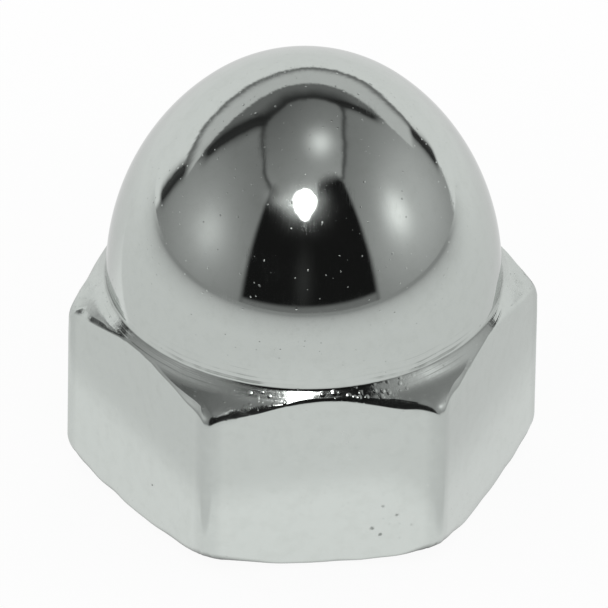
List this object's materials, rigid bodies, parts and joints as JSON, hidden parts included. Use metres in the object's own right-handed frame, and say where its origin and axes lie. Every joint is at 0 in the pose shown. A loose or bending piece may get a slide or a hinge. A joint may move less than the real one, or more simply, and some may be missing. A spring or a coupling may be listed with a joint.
{
  "type": "cap nut",
  "caption": "Chromed cap nut: a hexagon chamfered at both ends, closed by a tall dome, with a blind metric thread from below.",
  "frame": {"origin": "centre of the bearing face, where the thread's axis meets it", "axes": "+Z along the thread's axis towards the dome, +Y normal to a flat, +X through a corner"},
  "size_m": [0.0148, 0.013, 0.0143],
  "materials": {
    "chrome_plate": "bright chrome plate over a turned steel body, with fine turning marks, small pits and soft edges"
  },
  "bodies": {
    "root": {"cap_nut": "chrome_plate"}
  },
  "joints": []
}
